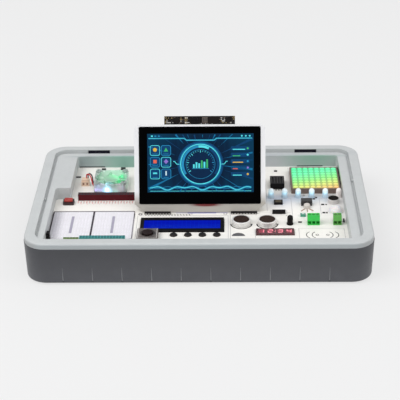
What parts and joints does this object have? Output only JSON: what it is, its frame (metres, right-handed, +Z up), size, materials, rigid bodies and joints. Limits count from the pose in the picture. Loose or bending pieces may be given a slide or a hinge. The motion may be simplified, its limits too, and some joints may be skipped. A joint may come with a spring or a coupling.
{
  "type": "electronics learning kit",
  "caption": "Shallow two-part case with a circuit board of sensors, displays, sockets and a fan, and a folding touch screen with a camera.",
  "frame": {"origin": "centre of the footprint, on the surface that the feet stand on", "axes": "+X to the right of someone facing the screen, +Y to the back, +Z up"},
  "size_m": [0.29, 0.19, 0.1019],
  "materials": {
    "tub_grey": "fine satin grain",
    "tray_grey": "fine satin grain",
    "foot_rubber": "matte",
    "screw_steel": "plain",
    "white_board": "white solder mask, printed lines",
    "green_board": "green solder mask",
    "port_metal": "folded sheet",
    "black_plastic": "moulded",
    "key_black": "smooth",
    "display_blue": "lit",
    "stick_grey": "satin",
    "stick_dark": "grippy",
    "can_silver": "spun",
    "mesh_brown": "woven mesh",
    "digits_dark": "dark face, red segments",
    "red_plastic": "moulded",
    "red_cap": "moulded",
    "teal_plastic": "moulded",
    "lime_plastic": "moulded",
    "fan_clear": "clear moulded",
    "cream_plastic": "moulded",
    "lead_red": "insulation",
    "lead_black": "insulation",
    "breadboard_white": "moulded",
    "lamp_clear": "clear",
    "matrix_brown": "moulded",
    "matrix_lens": "diffusing",
    "sensor_cream": "moulded",
    "terminal_green": "moulded",
    "lens_milk": "milky",
    "hinge_white": "painted",
    "screen_white": "smooth",
    "screen_black": "cover glass",
    "panel_metal": "folded sheet",
    "camera_brown": "dark solder mask"
  },
  "bodies": {
    "kit": {"lower_tub": "tub_grey", "upper_tray": "tray_grey", "rubber_feet": "foot_rubber", "case_screws": "screw_steel", "terminal_screws": "screw_steel", "spacers": "screw_steel", "main_board": "white_board", "computer_board": "green_board", "module_board": "green_board", "usb_ports": "port_metal", "network_jack": "port_metal", "power_inlet": "black_plastic", "display_bezel": "black_plastic", "key_bases": "black_plastic", "sockets_black": "black_plastic", "infrared_bullet": "black_plastic", "humidity_sensor": "black_plastic", "relay": "black_plastic", "board_chips": "black_plastic", "reset_base": "black_plastic", "fan_screws": "black_plastic", "microphone": "black_plastic", "fan_core": "black_plastic", "display_pane": "display_blue", "stick_case": "stick_grey", "sensor_cans": "can_silver", "can_meshes": "mesh_brown", "digit_display": "digits_dark", "socket_red": "red_plastic", "socket_teal": "teal_plastic", "socket_lime": "lime_plastic", "fan_frame": "fan_clear", "fan_plug": "cream_plastic", "fan_lead_red": "lead_red", "fan_lead_black": "lead_black", "breadboard_left": "breadboard_white", "breadboard_right": "breadboard_white", "lamps": "lamp_clear", "matrix_body": "matrix_brown", "matrix_plate": "matrix_lens", "light_sensor": "sensor_cream", "terminal_blocks": "terminal_green", "motion_lens": "lens_milk", "hinge_brackets": "hinge_white"},
    "screen": {"screen_shell": "screen_white", "screen_frame": "screen_white", "screen_glass": "screen_black", "display_panel": "panel_metal", "driver_board": "green_board", "camera_board": "camera_brown", "camera_lens": "black_plastic", "hinge_pins": "screw_steel"},
    "fan": {"fan_rotor": "fan_clear"},
    "stick_x": {"stick_carriage": "stick_dark"},
    "stick_y": {"stick_cap": "stick_dark"},
    "key_1": {"key_cap_1": "key_black"},
    "key_2": {"key_cap_2": "key_black"},
    "key_3": {"key_cap_3": "key_black"},
    "key_4": {"key_cap_4": "key_black"},
    "reset": {"reset_cap": "red_cap"}
  },
  "joints": [
    {"name": "screen_hinge", "type": "hinge", "parent": "kit", "child": "screen", "pos_m": [0, -0.008, 0.0292], "axis": [1, 0, 0], "range_deg": [-67.3, 4]},
    {"name": "fan_spin", "type": "hinge", "parent": "kit", "child": "fan", "pos_m": [-0.0813, 0.0396, 0.0286], "axis": [0, 0, 1], "continuous": true},
    {"name": "stick_left_right", "type": "slide", "parent": "kit", "child": "stick_x", "axis": [1, 0, 0], "range_m": [-0.0022, 0.0022], "stiffness_N_per_m": 60},
    {"name": "stick_front_back", "type": "slide", "parent": "stick_x", "child": "stick_y", "axis": [0, 1, 0], "range_m": [-0.0022, 0.0022], "stiffness_N_per_m": 60},
    {"name": "reset_push", "type": "slide", "parent": "kit", "child": "reset", "axis": [0, 0, 1], "range_m": [-0.00025, 0], "stiffness_N_per_m": 900, "springref_m": 0.0002},
    {"name": "key_push_1", "type": "slide", "parent": "kit", "child": "key_1", "axis": [0, 0, 1], "range_m": [-0.0003, 0], "stiffness_N_per_m": 900, "springref_m": 0.0002},
    {"name": "key_push_2", "type": "slide", "parent": "kit", "child": "key_2", "axis": [0, 0, 1], "range_m": [-0.0003, 0], "stiffness_N_per_m": 900, "springref_m": 0.0002},
    {"name": "key_push_3", "type": "slide", "parent": "kit", "child": "key_3", "axis": [0, 0, 1], "range_m": [-0.0003, 0], "stiffness_N_per_m": 900, "springref_m": 0.0002},
    {"name": "key_push_4", "type": "slide", "parent": "kit", "child": "key_4", "axis": [0, 0, 1], "range_m": [-0.0003, 0], "stiffness_N_per_m": 900, "springref_m": 0.0002}
  ]
}
